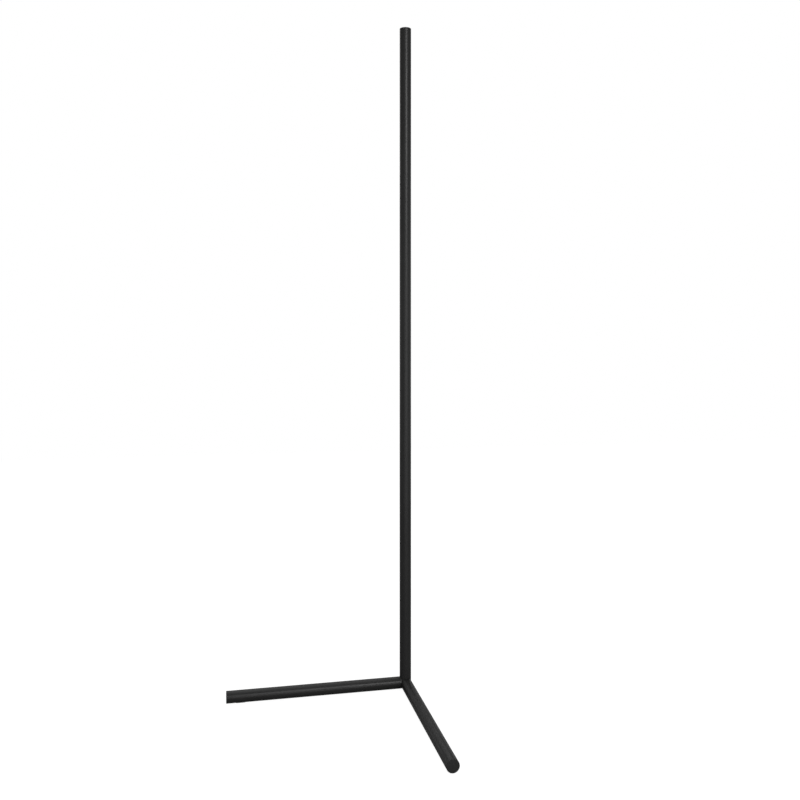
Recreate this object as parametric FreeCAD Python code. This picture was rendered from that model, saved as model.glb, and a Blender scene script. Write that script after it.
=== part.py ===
import FreeCAD, Part
import math
import os

# A corner floor lamp, in millimetres: a round light pole stands on a corner hub with two floor
# legs. The origin is on the floor, under the axis of the pole. +Z runs up the pole, the left leg
# runs along -X and the front leg along -Y. The channel with the lights opens away from both legs,
# between +X and +Y, so that it lights the two walls of the corner behind the lamp.

# Overall sizes
tube_diameter = 25.0
lamp_height = 1444.0
leg_reach = 385.0
foot_drop = 0.6
light_angle = 45.0

# Clearances: round a spigot or a clip, round a screw or a contact, and the broken edge of a part
fit = 0.15
close_fit = 0.05
edge_break = 0.2

# Pole: an extruded tube with a snap-in channel down its back, cut in three equal sections
section_names = ("lower", "middle", "upper")
pole_wall = 1.5
channel_width = 13.0
channel_depth = 8.5
channel_wall = 1.5
channel_floor = 2.0
groove_rise = 2.6
groove_height = 1.4
groove_depth = 0.7
pole_spigot = 45.0

# Diffuser: a curved milky cover with two snap legs
diffuser_wall = 1.5
diffuser_leg = 1.0
diffuser_leg_gap = 0.6
diffuser_joint_gap = 0.3

# Light strip: a flexible board on adhesive tape, with light chips and resistors
strip_side_gap = 1.5
strip_thickness = 0.3
tape_thickness = 0.2
strip_top_gap = 14.0
strip_bottom_gap = 3.0
chip_size = 5.0
chip_height = 1.6
chip_pitch = 33.3
chip_end_gap = 14.0
chips_per_resistor = 3
resistor_length = 3.2
resistor_width = 1.6
resistor_height = 0.55

# Headless screws in the channel floor, which press on the flat of the spigot behind it
pole_screw_diameter = 4.0
pole_screw_key = 2.0
pole_screw_inset = 15.0
hub_screw_spacing = 20.0
key_depth = 1.2

# Top cap
cap_thickness = 3.0
cap_edge = 0.5
cap_spigot = 16.0

# Corner hub
hub_arm = 32.0
leg_spigot = 40.0
leg_spigot_core = 13.0
leg_core_depth = 34.0
spigot_lead_in = 1.0
wire_bore = 7.0
wire_bore_wall = 2.0
wire_slot_length = 18.0
wire_slot_gap = 5.0
wire_slot_side_gap = 0.6

# Legs and their end caps
leg_wall = 2.0
leg_cap_thickness = 2.5
leg_cap_plug = 14.0
leg_cap_ribs = 6
leg_cap_rib_width = 2.0
leg_screw_diameter = 4.0
leg_screw_head = 7.0
leg_screw_rim = 0.3
leg_screw_length = 8.0
leg_screw_key = 2.5
leg_screw_inset = 20.0

# Rubber feet
foot_inset = 30.0
foot_length = 20.0
foot_width = 5.0
hub_foot_diameter = 14.0
foot_stem = 4.0
foot_stem_length = 5.0

# Power inlet socket, screwed into the back of the hub
inlet_rise = 18.0
inlet_thread = 8.0
inlet_flange = 11.0
inlet_flange_thickness = 2.0
inlet_recess_gap = 1.0
inlet_depth = 11.0
inlet_bore = 6.3
inlet_back_wall = 1.5
inlet_pin = 2.1
inlet_pin_setback = 1.5
inlet_pin_edge = 0.4
inlet_bore_below = 6.0
leaf_width = 2.4
leaf_thickness = 0.3
leaf_setback = 2.5
plug_diameter = 5.5

# Lead: a flat twin ribbon from the inlet to the light strip
lead_width = 3.6
lead_thickness = 1.3
lead_offset = 1.25
lead_overlap = 5.0
lead_turn = 0.45

UP = FreeCAD.Vector(0, 0, 1)
ORIGIN = FreeCAD.Vector(0, 0, 0)

radius = tube_diameter / 2
axis_height = radius + foot_drop
pole_bottom = axis_height + hub_arm
pole_top = lamp_height - cap_thickness
section_length = (pole_top - pole_bottom) / len(section_names)
seams = [pole_bottom + section_length * place for place in range(len(section_names) + 1)]
inner_radius = radius - pole_wall
spigot_radius = inner_radius - fit
channel_half = channel_width / 2
floor_face = radius - channel_depth
web_back = floor_face - channel_floor
groove_low = floor_face + groove_rise
groove_high = groove_low + groove_height
wire_bore_centre = wire_bore_wall + wire_bore / 2 - spigot_radius
wire_slot_bottom = pole_bottom + pole_spigot + wire_slot_gap
wire_slot_half = lead_offset + lead_width / 2 + wire_slot_side_gap
tag_end = wire_bore_centre - lead_thickness / 2
strip_bottom = wire_slot_bottom + wire_slot_length + strip_bottom_gap
strip_top = pole_top - strip_top_gap
strip_face = floor_face + tape_thickness + strip_thickness
strip_half = channel_half - strip_side_gap
leg_bore = tube_diameter - 2 * leg_wall
leg_spigot_radius = leg_bore / 2 - fit
leg_tube_end = leg_reach - leg_cap_thickness
inlet_height = axis_height + inlet_rise
recess_radius = inlet_flange / 2 + inlet_recess_gap


def chord_distance(circle_radius, half_width):
    """Distance from a circle's centre to its chord of that half width."""
    return math.sqrt(circle_radius ** 2 - half_width ** 2)


def line(start, end):
    return Part.LineSegment(FreeCAD.Vector(*start, 0), FreeCAD.Vector(*end, 0)).toShape()


def lines(points):
    return [line(start, end) for start, end in zip(points, points[1:])]


def arc(start, middle, end):
    corners = [FreeCAD.Vector(*point, 0) for point in (start, middle, end)]
    return Part.Arc(*corners).toShape()


def prism(edges, bottom, top):
    """Solid of a closed flat outline, from one height to another."""
    face = Part.Face(Part.Wire(Part.__sortEdges__(edges)))
    face.translate(UP * bottom)
    return face.extrude(UP * (top - bottom))


def turned(outline):
    """Solid turned about Z from its (radius, height) points."""
    corners = [FreeCAD.Vector(across, 0, height) for across, height in outline]
    face = Part.Face(Part.makePolygon(corners + corners[:1]))
    return face.revolve(ORIGIN, UP, 360)


def block(low, high):
    """Box between two opposite corners."""
    size = FreeCAD.Vector(*high) - FreeCAD.Vector(*low)
    return Part.makeBox(size.x, size.y, size.z, FreeCAD.Vector(*low))


def rod(diameter, low, high, across=ORIGIN):
    """Upright cylinder between two heights."""
    return Part.makeCylinder(diameter / 2, high - low, across + UP * low)


def rim_edges(shape, rim_radius, heights):
    """The round edges of that radius that lie at the given heights."""
    found = []
    for edge in shape.Edges:
        round_edge = isinstance(edge.Curve, Part.Circle)
        if round_edge and abs(edge.Curve.Radius - rim_radius) < 1e-6:
            if any(abs(edge.Curve.Center.z - height) < 1e-6 for height in heights):
                found.append(edge)
    return found


def to_channel(shape):
    """Turns a piece that is drawn with the channel along +X to where the channel faces."""
    shape.rotate(ORIGIN, UP, light_angle)
    return shape


def to_left_leg(shape):
    """Lays a piece that is drawn standing on Z down along -X, with its +X side on top."""
    shape.rotate(ORIGIN, FreeCAD.Vector(0, 1, 0), -90)
    shape.translate(UP * axis_height)
    return shape


def to_front_leg(shape):
    """Turns a piece of the left leg round to the front leg."""
    return shape.copy().rotate(ORIGIN, UP, 90)


def save(name, *solids):
    shape = solids[0] if len(solids) == 1 else Part.makeCompound(list(solids))
    shape.exportStep(os.path.join("parts", name + ".step"))


# Screws

def key_hole(key, top):
    """Hexagonal key hole, down from a height."""
    flat = key / math.sqrt(3)
    corners = [(flat * math.cos(math.radians(60 * turn)), flat * math.sin(math.radians(60 * turn)))
               for turn in range(7)]
    return prism(lines(corners), top - key_depth, top)


def into_channel(shape, height):
    """Lays a piece that is drawn standing on Z down along +X at a height."""
    shape.rotate(ORIGIN, FreeCAD.Vector(0, 1, 0), 90)
    shape.translate(UP * height)
    return shape


def pole_screw(height):
    """Headless screw, flush with the channel floor and tight on the spigot behind it."""
    screw = rod(pole_screw_diameter, web_back - fit, floor_face)
    return into_channel(screw.cut(key_hole(pole_screw_key, floor_face)), height)


def pole_screw_hole(height):
    return into_channel(rod(pole_screw_diameter + 2 * close_fit, web_back - fit, radius), height)


def countersunk(grow=0.0):
    """Countersunk screw, drawn with the head's face at z = 0 and the shank down -Z."""
    shank = leg_screw_diameter / 2 + grow
    crown = leg_screw_head / 2 + grow
    cone = leg_screw_rim + crown - shank
    end = -leg_screw_length - grow
    return turned([(0, 0), (crown, 0), (crown, -leg_screw_rim), (shank, -cone), (shank, end), (0, end)])


def under_leg(shape):
    """Sets a screw in the underside of the left leg."""
    shape.rotate(ORIGIN, FreeCAD.Vector(1, 0, 0), 180)
    sink = radius - chord_distance(radius, leg_screw_head / 2)
    shape.translate(FreeCAD.Vector(-hub_arm - leg_screw_inset, 0, foot_drop + sink))
    return shape


def leg_screw():
    return under_leg(countersunk().cut(key_hole(leg_screw_key, 0)))


def leg_screw_hole():
    """Room for a leg screw, open below its head."""
    return under_leg(countersunk(close_fit).fuse(rod(leg_screw_head + 2 * close_fit, 0, radius)))


hub_screw_heights = [pole_bottom + pole_screw_inset + hub_screw_spacing * place for place in (0, 1)]
joint_screw_heights = [seam + side * pole_screw_inset for seam in seams[1:-1] for side in (-1, 1)]
cap_screw_height = pole_top - cap_spigot / 2
pole_screw_heights = hub_screw_heights + joint_screw_heights + [cap_screw_height]


# Pole

def pole_outline():
    """The round outside, open at the channel, with a groove in each side of the channel."""
    mouth = chord_distance(radius, channel_half)
    side = [(mouth, channel_half), (groove_high, channel_half),
            (groove_high, channel_half + groove_depth), (groove_low, channel_half + groove_depth),
            (groove_low, channel_half), (floor_face, channel_half)]
    far_side = [(across, -along) for across, along in reversed(side)]
    return lines(side + far_side) + [arc(side[0], (-radius, 0), far_side[-1])]


def hollow_outline():
    """The hollow round the front of the channel."""
    wall = channel_half + channel_wall
    shoulder = chord_distance(inner_radius, wall)
    points = [(shoulder, wall), (web_back, wall), (web_back, -wall), (shoulder, -wall)]
    return lines(points) + [arc(points[0], (-inner_radius, 0), points[-1])]


def spigot_outline():
    """The D shape that slides into the hollow, against the back of the channel floor."""
    flat = web_back - fit
    half = chord_distance(spigot_radius, flat)
    return lines([(flat, half), (flat, -half)]) + [arc((flat, half), (-spigot_radius, 0), (flat, -half))]


def pole_section(bottom, top):
    section = prism(pole_outline(), bottom, top).cut(prism(hollow_outline(), bottom, top))
    for height in pole_screw_heights:
        if bottom < height < top:
            section = section.cut(pole_screw_hole(height))
    return section


def wire_slot():
    """Upright slot with round ends, through the channel floor."""
    half = wire_slot_half
    ends = (wire_slot_bottom + half, wire_slot_bottom + wire_slot_length - half)
    slot = block((web_back - fit, -half, ends[0]), (floor_face + fit, half, ends[1]))
    for height in ends:
        start = FreeCAD.Vector(web_back - fit, 0, height)
        end = Part.makeCylinder(half, channel_floor + 2 * fit, start, FreeCAD.Vector(1, 0, 0))
        slot = slot.fuse(end)
    return slot


def joiner(seam):
    """Solid bar that holds two sections end to end."""
    return prism(spigot_outline(), seam - pole_spigot, seam + pole_spigot)


def top_cap():
    disc = rod(tube_diameter, pole_top, lamp_height)
    disc = disc.makeChamfer(cap_edge, rim_edges(disc, radius, (lamp_height,)))
    return disc.fuse(prism(spigot_outline(), pole_top - cap_spigot, pole_top))


# Diffuser and light strip

def diffuser_outline():
    """An arc flush with the tube, and a leg each side with a hook that snaps into its groove."""
    edge = channel_half - fit
    inside = edge - diffuser_leg
    hook = channel_half + groove_depth - fit
    leg_tip = groove_low - diffuser_leg_gap
    under = radius - diffuser_wall
    side = [(chord_distance(radius, edge), edge), (groove_high - fit, edge),
            (groove_high - fit, hook), (groove_low + fit, edge), (leg_tip, edge),
            (leg_tip, inside), (chord_distance(under, inside), inside)]
    far_side = [(across, -along) for across, along in side]
    arcs = [arc(side[0], (radius, 0), far_side[0]), arc(side[-1], (under, 0), far_side[-1])]
    return lines(side) + lines(far_side) + arcs


def diffuser(bottom, top):
    return prism(diffuser_outline(), bottom + diffuser_joint_gap / 2, top - diffuser_joint_gap / 2)


def chip_heights():
    room = strip_top - strip_bottom - 2 * chip_end_gap
    count = int(room / chip_pitch) + 1
    first = strip_bottom + chip_end_gap + (room - (count - 1) * chip_pitch) / 2
    return [first + place * chip_pitch for place in range(count)]


def on_strip(height, length, width, thickness):
    """Small block on the face of the light strip, centred on a height."""
    return block((strip_face, -width / 2, height - length / 2),
                 (strip_face + thickness, width / 2, height + length / 2))


def light_chips():
    return [on_strip(height, chip_size, chip_size, chip_height) for height in chip_heights()]


def strip_resistors():
    """One resistor after each group of chips, halfway to the next chip."""
    places = chip_heights()[chips_per_resistor - 1::chips_per_resistor]
    return [on_strip(height + chip_pitch / 2, resistor_length, resistor_width, resistor_height)
            for height in places if height + chip_pitch < strip_top]


# Corner hub

def keep_side(shape, direction):
    """Cuts away what lies behind the plane through the origin that faces the direction."""
    reach = 4 * (hub_arm + leg_spigot)
    waste = Part.makeBox(reach, reach, reach, FreeCAD.Vector(-reach / 2, -reach / 2, -reach))
    waste.Placement = FreeCAD.Placement(ORIGIN, FreeCAD.Rotation(UP, FreeCAD.Vector(*direction)))
    return shape.cut(waste)


def mitred_corner():
    """Three equal round arms that meet in one three-way mitre at the origin."""
    arm = rod(tube_diameter, -tube_diameter, hub_arm)
    arm = arm.makeChamfer(edge_break, rim_edges(arm, radius, (hub_arm,)))
    arm = keep_side(keep_side(arm, (1, 0, 1)), (0, 1, 1))
    corner = arm
    for third in (1, 2):
        turned_arm = arm.copy().rotate(ORIGIN, FreeCAD.Vector(-1, -1, 1), 120 * third)
        corner = corner.fuse(turned_arm)
    return corner.removeSplitter()


def leg_spigot_bar():
    """Cored round spigot that carries a leg, drawn standing on Z."""
    end = hub_arm + leg_spigot
    tip = leg_spigot_radius - spigot_lead_in
    core = leg_spigot_core / 2
    core_start = end - leg_core_depth
    bar = turned([(0, hub_arm), (leg_spigot_radius, hub_arm), (leg_spigot_radius, end - spigot_lead_in),
                  (tip, end), (core, end), (core, core_start), (0, core_start)])
    return to_left_leg(bar)


def pole_spigot_bar():
    """The D-shaped spigot that carries the pole."""
    return prism(spigot_outline(), pole_bottom, pole_bottom + pole_spigot)


def wire_way():
    """Upright bore for the leads, from the inlet to the top of the pole's spigot."""
    across = FreeCAD.Vector(wire_bore_centre, 0, 0)
    return rod(wire_bore, inlet_height - inlet_bore_below, pole_bottom + pole_spigot, across)


def inlet_room():
    """Threaded hole for the inlet with a flat recess for its flange, drawn on Z from the axis."""
    seat = inlet_seat()
    hole = rod(inlet_thread + 2 * close_fit, wire_bore_centre, seat)
    return to_inlet(hole.fuse(rod(2 * recess_radius, seat, 2 * radius)))


def corner_hub():
    corner = mitred_corner()
    corner.translate(UP * axis_height)
    hub = corner.fuse(to_channel(pole_spigot_bar()))
    left_bar = leg_spigot_bar()
    hub = hub.fuse(left_bar).fuse(to_front_leg(left_bar))
    hub = hub.cut(to_channel(wire_way())).cut(to_channel(inlet_room()))
    screw_hole = leg_screw_hole()
    hub = hub.cut(screw_hole).cut(to_front_leg(screw_hole))
    stem_hole = rod(foot_stem + 2 * close_fit, 0, foot_drop + foot_stem_length + fit)
    return hub.cut(stem_hole).removeSplitter()


# Power inlet, drawn on Z from the pole's axis outwards

def inlet_seat():
    """Distance from the pole's axis to the flat that the flange sits on."""
    return min(chord_distance(radius, recess_radius), radius - inlet_flange_thickness)


def to_inlet(shape):
    """Lays a piece that is drawn on Z down along +X at the inlet's height."""
    shape.rotate(ORIGIN, FreeCAD.Vector(0, 1, 0), 90)
    shape.translate(UP * inlet_height)
    return shape


def leaf(grow=0.0):
    """Flat spring contact along one side of the bore, and its solder tag behind the lead's end."""
    seat = inlet_seat()
    near = plug_diameter / 2 + close_fit
    tip = seat + inlet_flange_thickness - leaf_setback
    return block((-leaf_width / 2 - grow, near - grow, tag_end),
                 (leaf_width / 2 + grow, near + leaf_thickness + grow, tip + grow))


def inlet_body():
    """Threaded barrel with a round flange and a plain bore."""
    seat = inlet_seat()
    back = seat - inlet_depth
    face = seat + inlet_flange_thickness
    barrel = inlet_thread / 2
    flange = inlet_flange / 2
    bore = inlet_bore / 2
    shell = turned([(0, back), (barrel, back), (barrel, seat), (flange, seat),
                    (flange, face - edge_break), (flange - edge_break, face), (bore, face),
                    (bore, back + inlet_back_wall), (0, back + inlet_back_wall)])
    return to_inlet(shell.cut(rod(inlet_pin + 2 * close_fit, back, face)).cut(leaf(close_fit)))


def inlet_pin_contact():
    """Round centre pin with a bevelled tip, and its solder tail behind."""
    seat = inlet_seat()
    tip = seat + inlet_flange_thickness - inlet_pin_setback
    pin = rod(inlet_pin, tag_end, tip)
    return to_inlet(pin.makeChamfer(inlet_pin_edge, rim_edges(pin, inlet_pin / 2, (tip,))))


# Lead: straight runs joined by arcs

def rounded_path(points):
    """Wire along the points, with an arc as large as its two runs allow at each corner."""
    edges = []
    radii = []
    start = points[0]
    for before, corner, after in zip(points, points[1:], points[2:]):
        inward = (before - corner).normalize()
        onward = (after - corner).normalize()
        half_turn = (math.pi - inward.getAngle(onward)) / 2
        cut_back = lead_turn * min((before - corner).Length, (after - corner).Length)
        bend = cut_back / math.tan(half_turn)
        enter = corner + inward * cut_back
        leave = corner + onward * cut_back
        to_centre = (inward + onward).normalize()
        middle = corner + to_centre * (bend / math.cos(half_turn) - bend)
        edges.append(Part.LineSegment(start, enter).toShape())
        edges.append(Part.Arc(enter, middle, leave).toShape())
        radii.append(bend)
        start = leave
    edges.append(Part.LineSegment(start, points[-1]).toShape())
    return Part.Wire(edges), radii


def ribbon_lead():
    """Flat lead up the hub's bore, through the slot and onto the end of the strip."""
    on_face = strip_face + lead_thickness / 2
    climb = (on_face - wire_bore_centre) / 2
    crossing = wire_slot_bottom + wire_slot_half
    start = FreeCAD.Vector(wire_bore_centre, lead_offset, inlet_height + leaf_width / 2)
    points = [start,
              FreeCAD.Vector(wire_bore_centre, lead_offset, crossing - climb),
              FreeCAD.Vector(on_face, lead_offset, crossing + climb),
              FreeCAD.Vector(on_face, lead_offset, strip_bottom + lead_overlap)]
    path, radii = rounded_path(points)
    across = FreeCAD.Vector(lead_thickness / 2, 0, 0)
    along = FreeCAD.Vector(0, lead_width / 2, 0)
    corners = [start + across + along, start - across + along, start - across - along, start + across - along]
    solid = path.makePipeShell([Part.makePolygon(corners + corners[:1])], True, False)
    expected = lead_width * lead_thickness * path.Length
    print("ribbon_lead bends", [round(bend, 1) for bend in radii], "volume ratio", solid.Volume / expected)
    return solid


# Legs

def leg_tube():
    """Round tube, drawn standing on Z."""
    tube = rod(tube_diameter, hub_arm, leg_tube_end)
    tube = to_left_leg(tube.cut(rod(leg_bore, hub_arm, leg_tube_end)))
    middle = FreeCAD.Vector(foot_inset - leg_reach, 0, 0)
    foot_hole = rod(foot_stem + 2 * close_fit, 0, axis_height, middle)
    return tube.cut(leg_screw_hole()).cut(foot_hole)


def leg_cap():
    """End plug with a flat face and ribs that grip the tube, drawn standing on Z."""
    cap = rod(tube_diameter, leg_tube_end, leg_reach)
    cap = cap.makeChamfer(cap_edge, rim_edges(cap, radius, (leg_reach,)))
    reach = leg_bore / 2 - close_fit
    half = leg_cap_rib_width / 2
    for place in range(leg_cap_ribs):
        rib_end = chord_distance(reach, half)
        rib = block((0, -half, leg_tube_end - leg_cap_plug), (rib_end, half, leg_tube_end))
        rib.rotate(ORIGIN, UP, 360 * place / leg_cap_ribs)
        cap = cap.fuse(rib)
    return to_left_leg(cap.removeSplitter())


# Feet

def foot_stem_rod():
    """Stem that a foot is pushed in by."""
    return rod(foot_stem, 0, foot_drop + foot_stem_length)


def leg_foot():
    """Rubber foot with round ends, shaped to the underside of the leg."""
    half = foot_width / 2
    run = foot_length / 2 - half
    outline = lines([(run, half), (-run, half)]) + lines([(-run, -half), (run, -half)])
    outline += [arc((run, half), (foot_length / 2, 0), (run, -half))]
    outline += [arc((-run, half), (-foot_length / 2, 0), (-run, -half))]
    pad = prism(outline, 0, axis_height)
    middle = FreeCAD.Vector(foot_inset - leg_reach, 0, 0)
    pad.translate(middle)
    pad = pad.cut(to_left_leg(rod(tube_diameter, 0, 2 * leg_reach)))
    return pad.fuse(foot_stem_rod().translate(middle)).removeSplitter()


def hub_foot(hub):
    """Round rubber foot with a plain stem, shaped to the underside of the hub."""
    disc = rod(hub_foot_diameter, 0, axis_height).cut(hub)
    pad = min(disc.Solids, key=lambda solid: solid.BoundBox.ZMin)
    pad = pad.cut(rod(hub_foot_diameter, foot_drop + radius / 2, axis_height))
    return pad.fuse(foot_stem_rod()).removeSplitter()


def build():
    os.makedirs("parts", exist_ok=True)
    hub = corner_hub()
    save("corner_hub", hub)
    save("hub_foot", hub_foot(hub))

    left_pieces = {"leg_tube": leg_tube(), "leg_cap": leg_cap(), "leg_foot": leg_foot()}
    for name, piece in left_pieces.items():
        save("left_" + name, piece)
        save("front_" + name, to_front_leg(piece))
    save("leg_screws", leg_screw(), to_front_leg(leg_screw()))

    for name, bottom, top in zip(section_names, seams, seams[1:]):
        section = pole_section(bottom, top)
        if bottom < wire_slot_bottom < top:
            section = section.cut(wire_slot())
        save("pole_" + name, to_channel(section))
        save("diffuser_" + name, to_channel(diffuser(bottom, top)))
    for name, seam in zip(section_names, seams[1:-1]):
        save(name + "_joiner", to_channel(joiner(seam)))
    save("pole_screws", *[to_channel(pole_screw(height)) for height in pole_screw_heights])
    save("top_cap", to_channel(top_cap()))

    tape_face = floor_face + tape_thickness
    tape = block((floor_face, -strip_half, strip_bottom), (tape_face, strip_half, strip_top))
    strip = block((tape_face, -strip_half, strip_bottom), (strip_face, strip_half, strip_top))
    save("strip_tape", to_channel(tape))
    save("light_strip", to_channel(strip))
    save("light_chips", *[to_channel(chip) for chip in light_chips()])
    save("strip_resistors", *[to_channel(resistor) for resistor in strip_resistors()])

    save("inlet_body", to_channel(inlet_body()))
    save("inlet_pin", to_channel(inlet_pin_contact()))
    save("inlet_leaf", to_channel(to_inlet(leaf())))
    save("ribbon_lead", to_channel(ribbon_lead()))


build()
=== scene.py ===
"""Corner floor lamp: a slim light pole on a mitred corner hub with two legs on the floor.

Sizes are in millimetres and turn to metres when a piece is finished. The pole stands on +Z, the
left leg lies along -X, the front leg along -Y, and the light channel faces between +X and +Y.
"""

from __future__ import annotations

import logging
import math
from collections.abc import Callable, Iterable, Sequence
from dataclasses import dataclass, field, replace
from enum import Enum

import bmesh
import bpy
from mathutils import Matrix, Vector


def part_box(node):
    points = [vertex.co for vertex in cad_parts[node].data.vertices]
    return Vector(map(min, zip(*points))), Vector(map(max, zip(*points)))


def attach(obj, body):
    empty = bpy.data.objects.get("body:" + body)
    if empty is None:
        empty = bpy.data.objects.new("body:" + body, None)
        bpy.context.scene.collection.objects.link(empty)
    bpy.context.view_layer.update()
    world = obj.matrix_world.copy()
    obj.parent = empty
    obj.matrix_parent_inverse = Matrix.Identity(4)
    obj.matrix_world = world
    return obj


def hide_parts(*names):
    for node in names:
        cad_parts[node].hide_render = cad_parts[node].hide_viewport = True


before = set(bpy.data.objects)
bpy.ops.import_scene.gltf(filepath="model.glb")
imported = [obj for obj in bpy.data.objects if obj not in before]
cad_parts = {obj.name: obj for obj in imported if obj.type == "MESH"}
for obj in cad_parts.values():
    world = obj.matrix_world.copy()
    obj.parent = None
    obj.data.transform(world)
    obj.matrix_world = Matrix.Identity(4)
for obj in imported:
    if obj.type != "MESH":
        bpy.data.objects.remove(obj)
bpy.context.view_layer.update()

LOG = logging.getLogger("corner_lamp")
MM = 0.001
FULL_TURN = 2 * math.pi
SEGMENTS = 96
FEWEST_STEPS = 4
# A point this near a line, a circle or a height counts as on it, in millimetres.
NEAR = 1e-3
# Points of one drawing nearer than this are one point, in millimetres.
WELD = 1e-4
# Points nearer than this, in metres, are one point after a cut.
CUT_CLEARANCE = 2e-6
# How far a cutter reaches past what it cuts, in millimetres.
OVERCUT = 1.0
# A surface turns smoothly up to this angle between faces, in degrees.
SMOOTH_UP_TO = 50.0
BODY = "root"
Place = tuple[float, float]
Socket = bpy.types.NodeSocket


class Slot(Enum):
    """The record's material slots, by name; no piece here is given one."""

    POWDER_COAT = "black_powder_coat"
    ALUMINIUM = "black_aluminium"
    PLASTIC = "black_plastic"
    MILKY = "milky_plastic"
    RUBBER = "black_rubber"
    CONTACT = "contact"


class Side(Enum):
    """The two legs, each with its turn about the pole from where the left leg lies, in degrees."""

    LEFT = 0.0
    FRONT = 90.0


class Section(Enum):
    """The pole's three sections from the floor up, as the names of their nodes say."""

    LOWER = "lower"
    MIDDLE = "middle"
    UPPER = "upper"


class Operation(Enum):
    """What a tool shape does to a piece."""

    CUT = "DIFFERENCE"
    JOIN = "UNION"


# Finishes


def linear(hex_colour: str) -> tuple[float, float, float, float]:
    """Turn an sRGB hex colour to Blender's linear colour.

    Args:
        hex_colour: The colour as "#rrggbb".

    Returns:
        Linear red, green and blue, with an alpha of 1.
    """
    channels = [int(hex_colour[place:place + 2], 16) / 255 for place in (1, 3, 5)]
    red, green, blue = (value / 12.92 if value <= 0.04045 else ((value + 0.055) / 1.055) ** 2.4
                        for value in channels)
    return red, green, blue, 1.0


def add_node(tree: bpy.types.NodeTree, kind: str, links: dict[str | int, Socket] | None = None,
             sockets: dict[str | int, object] | None = None, **settings: object) -> bpy.types.Node:
    """Add one shader node with its settings and links.

    Args:
        tree: The node tree that it joins.
        kind: The node's type name.
        links: Input names or numbers, each with the output that feeds it.
        sockets: Input names or numbers, each with its constant value.
        **settings: Properties of the node itself.

    Returns:
        The new node.
    """
    node = tree.nodes.new(kind)
    for name, value in settings.items():
        setattr(node, name, value)
    for socket, value in (sockets or {}).items():
        node.inputs[socket].default_value = value
    for socket, source in (links or {}).items():
        tree.links.new(source, node.inputs[socket])
    return node


# Nearly all of a noise texture's values lie between these two.
NOISE_LOW, NOISE_HIGH = 0.35, 0.65


@dataclass(frozen=True)
class Finish:
    """A surface with a fine grain and soft patches in its colour and gloss.

    shade and other_shade are the ends of the colour's drift. grain_mm is the width of the grain
    that shows as bump, grain_height_mm its height, and patch_mm the width of the soft patches.
    stretch lengthens both along Z, as drawing through a die does. constants go straight to the
    shader's own sockets.
    """

    name: str
    shade: str
    other_shade: str
    roughness: float
    gloss_drift: float
    grain_mm: float
    grain_height_mm: float
    patch_mm: float = 60.0
    stretch: float = 1.0
    metallic: float = 0.0
    constants: dict[str, object] = field(default_factory=dict)

    def make(self) -> bpy.types.Material:
        """Build the material, or find the one of this name.

        Returns:
            The material.
        """
        found = bpy.data.materials.get(self.name)
        if found is not None:
            return found
        material = bpy.data.materials.new(self.name)
        material.use_nodes = True
        tree = material.node_tree
        tree.nodes.clear()
        place = add_node(tree, "ShaderNodeTexCoord").outputs["Object"]
        drawn = add_node(tree, "ShaderNodeMapping", {"Vector": place},
                         {"Scale": (1, 1, 1 / self.stretch)}).outputs["Vector"]
        patches, grain = (
            add_node(tree, "ShaderNodeTexNoise", {"Vector": drawn},
                     {"Scale": 1 / (width_mm * MM), "Detail": 3.0}).outputs["Fac"]
            for width_mm in (self.patch_mm, self.grain_mm))
        colour = add_node(tree, "ShaderNodeValToRGB", {"Fac": patches})
        low, high = colour.color_ramp.elements
        low.position, high.position = NOISE_LOW, NOISE_HIGH
        low.color, high.color = linear(self.shade), linear(self.other_shade)
        gloss = add_node(tree, "ShaderNodeMapRange", {"Value": patches},
                         {"From Min": NOISE_LOW, "From Max": NOISE_HIGH,
                          "To Min": self.roughness - self.gloss_drift,
                          "To Max": self.roughness + self.gloss_drift})
        bump = add_node(tree, "ShaderNodeBump", {"Height": grain},
                        {"Strength": 1.0, "Distance": self.grain_height_mm * MM})
        shader = add_node(tree, "ShaderNodeBsdfPrincipled",
                          {"Base Color": colour.outputs["Color"],
                           "Roughness": gloss.outputs["Result"],
                           "Normal": bump.outputs["Normal"]},
                          {"Metallic": self.metallic, **self.constants})
        add_node(tree, "ShaderNodeOutputMaterial", {"Surface": shader.outputs["BSDF"]})
        return material


# Polyester powder coat, baked on steel: satin black with a fine orange peel, as the powder's
# grains flow together. The peel is 1.2 mm wide, and drawn deeper than in life so that it shows.
POWDER_COAT = Finish(
    "satin powder coat on steel", "#1a1a1a", "#1d1d1d", roughness=0.40, gloss_drift=0.03,
    grain_mm=1.2, grain_height_mm=0.07, constants={"IOR": 1.5, "Specular IOR Level": 0.22})
# The same coat on drawn aluminium: the die lines under it pull the peel out along the pole.
COATED_EXTRUSION = replace(POWDER_COAT, name="satin powder coat on aluminium", stretch=4.0)
# Injection-moulded ABS with a fine spark-eroded grain: a soft sheen with no clear reflection.
MOULDED_PLASTIC = Finish(
    "moulded ABS", "#181818", "#1c1c1c", roughness=0.5, gloss_drift=0.03,
    grain_mm=0.8, grain_height_mm=0.04, constants={"IOR": 1.54, "Specular IOR Level": 0.25})
# Moulded rubber: dull, with pale dust in its pores.
RUBBER = Finish(
    "moulded rubber", "#141414", "#1c1c1b", roughness=0.85, gloss_drift=0.04,
    grain_mm=0.6, grain_height_mm=0.03, patch_mm=8.0,
    constants={"IOR": 1.52, "Specular IOR Level": 0.3})
# Extruded opal polycarbonate: milky white, light goes into it and comes out softly.
OPAL = Finish(
    "opal polycarbonate", "#e9e9e6", "#e4e4e1", roughness=0.4, gloss_drift=0.03,
    grain_mm=2.0, grain_height_mm=0.003, stretch=12.0,
    constants={"IOR": 1.58, "Subsurface Weight": 0.5, "Subsurface Scale": 0.004,
               "Subsurface Radius": (1.0, 0.95, 0.9)})
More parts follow.
